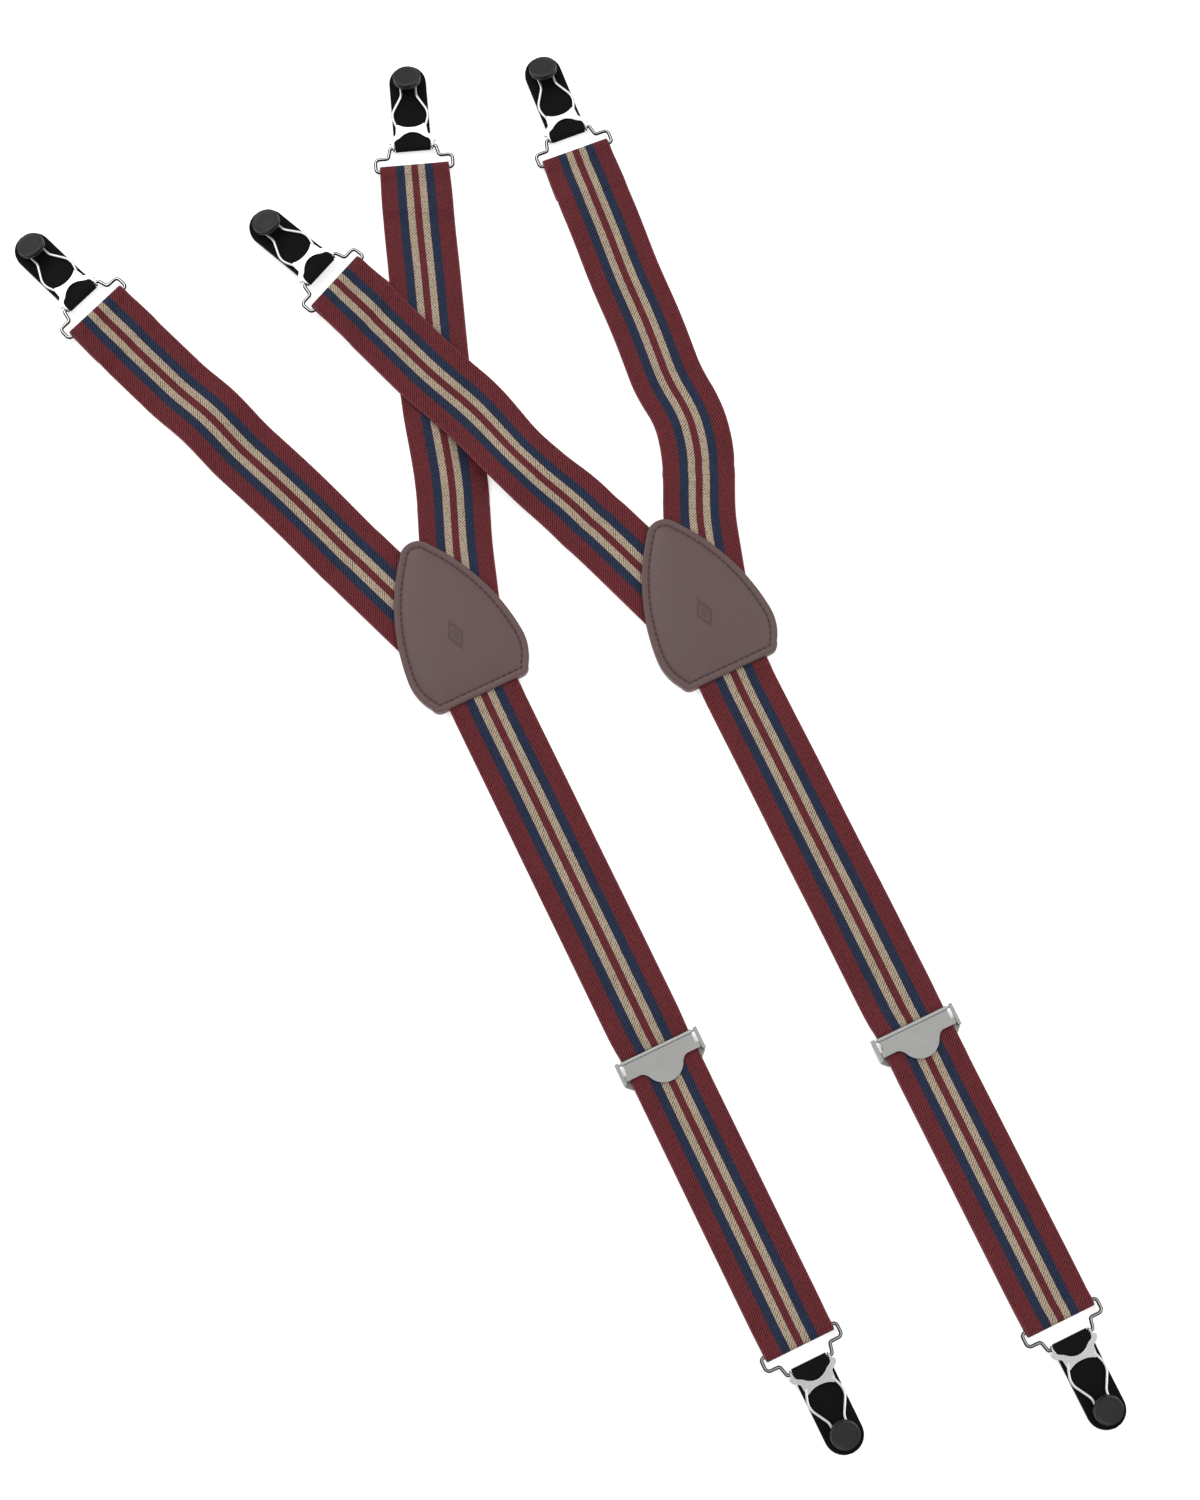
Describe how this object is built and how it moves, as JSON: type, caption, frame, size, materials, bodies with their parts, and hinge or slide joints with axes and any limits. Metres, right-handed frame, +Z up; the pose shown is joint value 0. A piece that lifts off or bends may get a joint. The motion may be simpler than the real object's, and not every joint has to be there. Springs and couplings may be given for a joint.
{
  "type": "shirt stays",
  "caption": "Pair of Y-shaped elastic shirt stays: striped webbing from a leather patch, wire-hung button-and-loop clips at the ends, sliding adjuster on the main strap",
  "frame": {"origin": "middle of the bounding box in X and Y, on the surface that the pair lies on", "axes": "+X to the wearer's right as laid out, +Y towards the shirt clips, +Z up from the surface"},
  "size_m": [0.3652, 0.4724, 0.0099],
  "materials": {
    "webbing": "ribbed elastic webbing with woven stripes",
    "leather": "smooth satin leather",
    "thread": "polyester sewing thread",
    "steel": "nickel-plated steel, satin",
    "wire": "bright nickel-plated wire",
    "rubber": "smooth black rubber",
    "button": "semi-gloss black moulded plastic"
  },
  "bodies": {
    "left_stay": {"left_patch_lining": "leather", "left_patch_cover": "leather", "left_patch_thread": "thread", "left_main_strap": "webbing", "left_front_strap": "webbing", "left_rear_strap": "webbing"},
    "left_adjuster": {"left_adjuster_frame": "steel"},
    "left_lever": {"left_adjuster_lever": "steel"},
    "left_sock_end": {"left_sock_strap": "webbing", "left_sock_hem": "webbing"},
    "left_front_end": {"left_front_hem": "webbing"},
    "left_front_hanger": {"left_front_hanger": "wire"},
    "left_front_clip": {"left_front_tab": "rubber", "left_front_stud": "button", "left_front_rivet": "steel"},
    "left_front_loop": {"left_front_loop": "wire"},
    "left_rear_end": {"left_rear_hem": "webbing"},
    "left_rear_hanger": {"left_rear_hanger": "wire"},
    "left_rear_clip": {"left_rear_tab": "rubber", "left_rear_stud": "button", "left_rear_rivet": "steel"},
    "left_rear_loop": {"left_rear_loop": "wire"},
    "left_sock_hanger": {"left_sock_hanger": "wire"},
    "left_sock_clip": {"left_sock_tab": "rubber", "left_sock_stud": "button", "left_sock_rivet": "steel"},
    "left_sock_loop": {"left_sock_loop": "wire"},
    "right_stay": {"right_patch_lining": "leather", "right_patch_cover": "leather", "right_patch_thread": "thread", "right_main_strap": "webbing", "right_front_strap": "webbing", "right_rear_strap": "webbing"},
    "right_adjuster": {"right_adjuster_frame": "steel"},
    "right_lever": {"right_adjuster_lever": "steel"},
    "right_sock_end": {"right_sock_strap": "webbing", "right_sock_hem": "webbing"},
    "right_front_end": {"right_front_hem": "webbing"},
    "right_front_hanger": {"right_front_hanger": "wire"},
    "right_front_clip": {"right_front_tab": "rubber", "right_front_stud": "button", "right_front_rivet": "steel"},
    "right_front_loop": {"right_front_loop": "wire"},
    "right_rear_end": {"right_rear_hem": "webbing"},
    "right_rear_hanger": {"right_rear_hanger": "wire"},
    "right_rear_clip": {"right_rear_tab": "rubber", "right_rear_stud": "button", "right_rear_rivet": "steel"},
    "right_rear_loop": {"right_rear_loop": "wire"},
    "right_sock_hanger": {"right_sock_hanger": "wire"},
    "right_sock_clip": {"right_sock_tab": "rubber", "right_sock_stud": "button", "right_sock_rivet": "steel"},
    "right_sock_loop": {"right_sock_loop": "wire"}
  },
  "joints": [
    {"name": "left_adjuster_slide", "type": "slide", "parent": "left_stay", "child": "left_adjuster", "axis": [0.4337, -0.9011, 0], "range_m": [-0.06, 0.1], "deforming": ["left_main_strap"]},
    {"name": "left_lever_hinge", "type": "hinge", "parent": "left_adjuster", "child": "left_lever", "pos_m": [0.03558, -0.1088, 0.0035], "axis": [-0.9011, -0.4337, 0], "range_deg": [0, 100]},
    {"name": "left_sock_slide", "type": "slide", "parent": "left_adjuster", "child": "left_sock_end", "axis": [0.4337, -0.9011, 0], "range_m": [-0.05, 0.03], "deforming": ["left_sock_strap"]},
    {"name": "left_front_stretch", "type": "slide", "parent": "left_stay", "child": "left_front_end", "axis": [-0.7145, 0.6997, 0], "range_m": [0, 0.04], "stiffness_N_per_m": 150, "deforming": ["left_front_strap"]},
    {"name": "left_front_hanger_hinge", "type": "hinge", "parent": "left_front_end", "child": "left_front_hanger", "pos_m": [-0.15338, 0.14234, 0.00195], "axis": [0.6997, 0.7145, 0], "range_deg": [-90, 90]},
    {"name": "left_front_tab_hinge", "type": "hinge", "parent": "left_front_hanger", "child": "left_front_clip", "pos_m": [-0.15938, 0.14822, 0.00195], "axis": [0.6997, 0.7145, 0], "range_deg": [-90, 15]},
    {"name": "left_front_loop_hinge", "type": "hinge", "parent": "left_front_clip", "child": "left_front_loop", "pos_m": [-0.15938, 0.14822, 0.00195], "axis": [0.6997, 0.7145, 0], "range_deg": [0, 75], "deforming": ["left_front_tab", "left_front_stud"]},
    {"name": "left_rear_stretch", "type": "slide", "parent": "left_stay", "child": "left_rear_end", "axis": [-0.0906, 0.9959, 0], "range_m": [0, 0.04], "stiffness_N_per_m": 150, "deforming": ["left_rear_strap"]},
    {"name": "left_rear_hanger_hinge", "type": "hinge", "parent": "left_rear_end", "child": "left_rear_hanger", "pos_m": [-0.04624, 0.19446, 0.00195], "axis": [0.9959, 0.0906, 0], "range_deg": [-90, 90]},
    {"name": "left_rear_tab_hinge", "type": "hinge", "parent": "left_rear_hanger", "child": "left_rear_clip", "pos_m": [-0.04701, 0.20283, 0.00195], "axis": [0.9959, 0.0906, 0], "range_deg": [-90, 15]},
    {"name": "left_rear_loop_hinge", "type": "hinge", "parent": "left_rear_clip", "child": "left_rear_loop", "pos_m": [-0.04701, 0.20283, 0.00195], "axis": [0.9959, 0.0906, 0], "range_deg": [0, 75], "deforming": ["left_rear_tab", "left_rear_stud"]},
    {"name": "left_sock_hanger_hinge", "type": "hinge", "parent": "left_sock_end", "child": "left_sock_hanger", "pos_m": [0.07996, -0.20102, 0.00195], "axis": [-0.9011, -0.4337, 0], "range_deg": [-90, 90]},
    {"name": "left_sock_tab_hinge", "type": "hinge", "parent": "left_sock_hanger", "child": "left_sock_clip", "pos_m": [0.08361, -0.20859, 0.00195], "axis": [-0.9011, -0.4337, 0], "range_deg": [-90, 15]},
    {"name": "left_sock_loop_hinge", "type": "hinge", "parent": "left_sock_clip", "child": "left_sock_loop", "pos_m": [0.08361, -0.20859, 0.00195], "axis": [-0.9011, -0.4337, 0], "range_deg": [0, 75], "deforming": ["left_sock_tab", "left_sock_stud"]},
    {"name": "right_stay_lift", "type": "slide", "parent": "left_stay", "child": "right_stay", "axis": [0, 0, 1], "range_m": [0, 0.12]},
    {"name": "right_adjuster_slide", "type": "slide", "parent": "right_stay", "child": "right_adjuster", "axis": [0.4337, -0.9011, 0], "range_m": [-0.06, 0.1], "deforming": ["right_main_strap"]},
    {"name": "right_lever_hinge", "type": "hinge", "parent": "right_adjuster", "child": "right_lever", "pos_m": [0.11798, -0.1012, 0.0035], "axis": [-0.9011, -0.4337, 0], "range_deg": [0, 100]},
    {"name": "right_sock_slide", "type": "slide", "parent": "right_adjuster", "child": "right_sock_end", "axis": [0.4337, -0.9011, 0], "range_m": [-0.05, 0.03], "deforming": ["right_sock_strap"]},
    {"name": "right_front_stretch", "type": "slide", "parent": "right_stay", "child": "right_front_end", "axis": [-0.7615, 0.6481, 0], "range_m": [0, 0.04], "stiffness_N_per_m": 150, "deforming": ["right_front_strap"]},
    {"name": "right_front_hanger_hinge", "type": "hinge", "parent": "right_front_end", "child": "right_front_hanger", "pos_m": [-0.07174, 0.15189, 0.00355], "axis": [0.6481, 0.7615, 0], "range_deg": [-90, 90]},
    {"name": "right_front_tab_hinge", "type": "hinge", "parent": "right_front_hanger", "child": "right_front_clip", "pos_m": [-0.07813, 0.15733, 0.00355], "axis": [0.6481, 0.7615, 0], "range_deg": [-90, 15]},
    {"name": "right_front_loop_hinge", "type": "hinge", "parent": "right_front_clip", "child": "right_front_loop", "pos_m": [-0.07813, 0.15733, 0.00355], "axis": [0.6481, 0.7615, 0], "range_deg": [0, 75], "deforming": ["right_front_tab", "right_front_stud"]},
    {"name": "right_rear_stretch", "type": "slide", "parent": "right_stay", "child": "right_rear_end", "axis": [-0.3584, 0.9336, 0], "range_m": [0, 0.04], "stiffness_N_per_m": 150, "deforming": ["right_rear_strap"]},
    {"name": "right_rear_hanger_hinge", "type": "hinge", "parent": "right_rear_end", "child": "right_rear_hanger", "pos_m": [0.00933, 0.19998, 0.00195], "axis": [0.9336, 0.3584, 0], "range_deg": [-90, 90]},
    {"name": "right_rear_tab_hinge", "type": "hinge", "parent": "right_rear_hanger", "child": "right_rear_clip", "pos_m": [0.00632, 0.20783, 0.00195], "axis": [0.9336, 0.3584, 0], "range_deg": [-90, 15]},
    {"name": "right_rear_loop_hinge", "type": "hinge", "parent": "right_rear_clip", "child": "right_rear_loop", "pos_m": [0.00632, 0.20783, 0.00195], "axis": [0.9336, 0.3584, 0], "range_deg": [0, 75], "deforming": ["right_rear_tab", "right_rear_stud"]},
    {"name": "right_sock_hanger_hinge", "type": "hinge", "parent": "right_sock_end", "child": "right_sock_hanger", "pos_m": [0.16236, -0.19342, 0.00195], "axis": [-0.9011, -0.4337, 0], "range_deg": [-90, 90]},
    {"name": "right_sock_tab_hinge", "type": "hinge", "parent": "right_sock_hanger", "child": "right_sock_clip", "pos_m": [0.16601, -0.20099, 0.00195], "axis": [-0.9011, -0.4337, 0], "range_deg": [-90, 15]},
    {"name": "right_sock_loop_hinge", "type": "hinge", "parent": "right_sock_clip", "child": "right_sock_loop", "pos_m": [0.16601, -0.20099, 0.00195], "axis": [-0.9011, -0.4337, 0], "range_deg": [0, 75], "deforming": ["right_sock_tab", "right_sock_stud"]}
  ],
  "couplings": [
    {"joint": "left_sock_slide", "follows": "left_adjuster_slide", "ratio": -0.5},
    {"joint": "right_sock_slide", "follows": "right_adjuster_slide", "ratio": -0.5}
  ]
}
